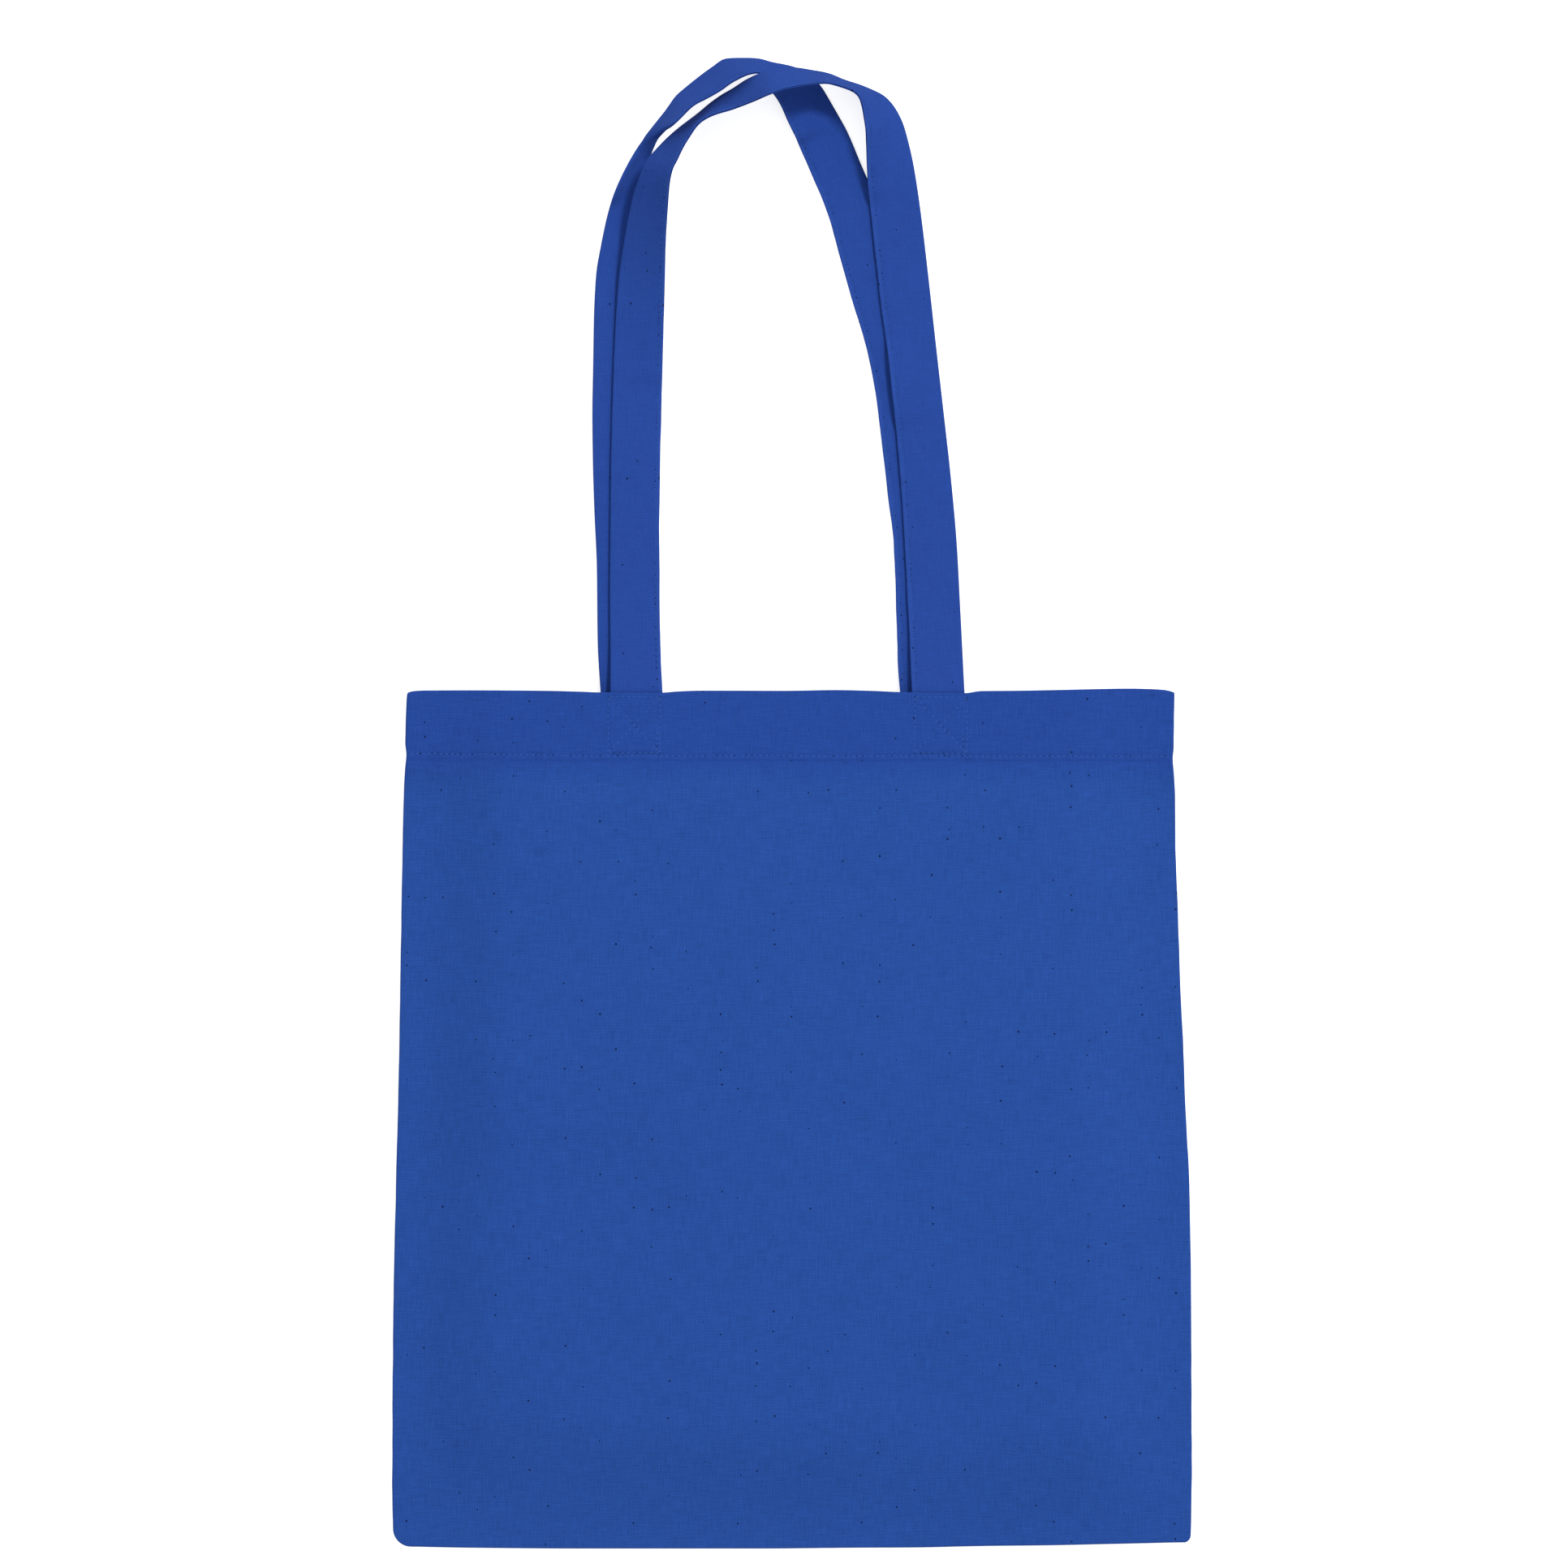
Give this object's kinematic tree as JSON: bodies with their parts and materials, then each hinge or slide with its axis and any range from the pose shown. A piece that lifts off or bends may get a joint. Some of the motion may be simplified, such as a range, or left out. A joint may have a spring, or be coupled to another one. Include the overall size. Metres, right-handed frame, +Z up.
{
  "type": "cotton tote bag",
  "caption": "Cotton tote bag lying flat, with a turned hem round its open mouth and long strap handles held by boxed cross stitching.",
  "frame": {"origin": "middle of the bag's outline, handles included, on the surface it lies on", "axes": "+X across the bag to the right as seen from above, +Y up the bag from its bottom fold to its handles, +Z up off the surface, out of the front panel"},
  "size_m": [0.389, 0.725, 0.0414],
  "materials": {
    "cotton": "plain-weave royal blue cotton, matt",
    "strap_cotton": "folded royal blue cotton strap, matt",
    "thread": "blue spun thread"
  },
  "bodies": {
    "root": {"bag_body": "cotton", "front_handle": "strap_cotton", "back_handle": "strap_cotton", "hem_stitching": "thread", "front_handle_stitching": "thread", "back_handle_stitching": "thread", "cross_stitching_front_left": "thread", "cross_stitching_front_right": "thread", "cross_stitching_back_left": "thread", "cross_stitching_back_right": "thread"}
  },
  "joints": []
}
